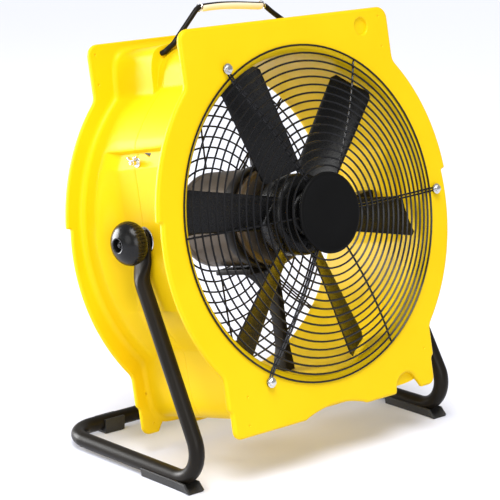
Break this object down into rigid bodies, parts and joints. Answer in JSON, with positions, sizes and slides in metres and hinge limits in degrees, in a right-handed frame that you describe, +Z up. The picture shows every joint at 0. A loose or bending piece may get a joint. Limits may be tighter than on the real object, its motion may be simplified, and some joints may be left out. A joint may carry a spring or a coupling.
{
  "type": "axial air mover",
  "caption": "Drum-shaped axial fan in a yellow two-part housing with wire guards and a carrying handle, tilting in a bent black tube stand.",
  "frame": {"origin": "on the floor under the middle of the whole object's box", "axes": "+Z up, outlet with the domed round guard towards -Y, +X to the right as seen from the outlet side"},
  "size_m": [0.5682, 0.3445, 0.6486],
  "materials": {
    "badge_black": "black disc, satin, no lettering",
    "blade_black": "black glass-filled nylon, semi-gloss",
    "bright_zinc": "bright zinc plating",
    "case_black": "black moulded plastic",
    "foot_rubber": "black rubber, matt",
    "grip_beige": "pale beige sleeve",
    "ground_steel": "ground steel",
    "guard_wire": "black powder-coated wire, satin",
    "handle_steel": "black coated rod",
    "hub_black": "black moulded nylon",
    "knob_black": "glossy black thermoset",
    "motor_paint": "black stove enamel on the motor's can",
    "mount_steel": "black powder coat",
    "rocker_red": "red rocker",
    "shell_yellow": "glossy rotomoulded polyethylene, fine orange peel",
    "stand_black": "black satin powder coat on steel tube"
  },
  "bodies": {
    "stand": {"stand_frame": "stand_black", "front_foot_left": "foot_rubber", "front_foot_right": "foot_rubber", "rear_foot_left": "foot_rubber", "rear_foot_right": "foot_rubber", "pivot_washer_left": "bright_zinc", "pivot_washer_right": "bright_zinc"},
    "housing": {"front_shell": "shell_yellow", "rear_shell": "shell_yellow", "front_guard": "guard_wire", "front_guard_bolt_1": "bright_zinc", "front_guard_bolt_2": "bright_zinc", "front_guard_bolt_3": "bright_zinc", "guard_badge": "badge_black", "rear_guard": "guard_wire", "rear_guard_bolt_1": "bright_zinc", "rear_guard_bolt_2": "bright_zinc", "rear_guard_bolt_3": "bright_zinc", "rear_guard_bolt_4": "bright_zinc", "motor_body": "motor_paint", "motor_rear_cover": "motor_paint", "bearing_front": "ground_steel", "bearing_rear": "ground_steel", "motor_base_plate": "motor_paint", "motor_clamp_ring": "mount_steel", "motor_strut_1": "mount_steel", "motor_strut_2": "mount_steel", "motor_strut_3": "mount_steel", "motor_strut_4": "mount_steel", "handle_rod": "handle_steel", "handle_grip": "grip_beige", "pivot_stud_left": "bright_zinc", "pivot_stud_right": "bright_zinc", "switch_box": "case_black", "switch_bezel": "case_black", "cable_gland": "case_black"},
    "impeller": {"impeller_hub": "hub_black", "hub_clamp_plate": "hub_black", "motor_shaft": "ground_steel", "blade_1": "blade_black", "blade_2": "blade_black", "blade_3": "blade_black", "blade_4": "blade_black", "blade_5": "blade_black", "blade_6": "blade_black"},
    "knob_left": {"knob_left": "knob_black", "knob_nut_left": "knob_black"},
    "knob_right": {"knob_right": "knob_black", "knob_nut_right": "knob_black"},
    "wing_screw": {"wing_screw": "bright_zinc"},
    "rocker": {"switch_rocker": "rocker_red"}
  },
  "joints": [
    {"name": "housing_tilt", "type": "hinge", "parent": "stand", "child": "housing", "pos_m": [0, -0.0097, 0.334], "axis": [1, 0, 0], "range_deg": [-30, 12]},
    {"name": "impeller_spin", "type": "hinge", "parent": "housing", "child": "impeller", "pos_m": [0, -0.0097, 0.334], "axis": [0, -0.9789, 0.2045], "continuous": true},
    {"name": "knob_left_turn", "type": "hinge", "parent": "housing", "child": "knob_left", "pos_m": [-0.25, -0.0097, 0.334], "axis": [-1, 0, 0], "range_deg": [0, 360]},
    {"name": "knob_right_turn", "type": "hinge", "parent": "housing", "child": "knob_right", "pos_m": [0.25, -0.0097, 0.334], "axis": [1, 0, 0], "range_deg": [0, 360]},
    {"name": "wing_screw_turn", "type": "hinge", "parent": "housing", "child": "wing_screw", "pos_m": [-0.2263, 0.00692, 0.4429], "axis": [-1, 0, 0], "range_deg": [0, 360]},
    {"name": "rocker_press", "type": "hinge", "parent": "housing", "child": "rocker", "pos_m": [0.1955, -0.00141, 0.56928], "axis": [0, 0.9789, -0.2045], "range_deg": [-7, 7]}
  ]
}
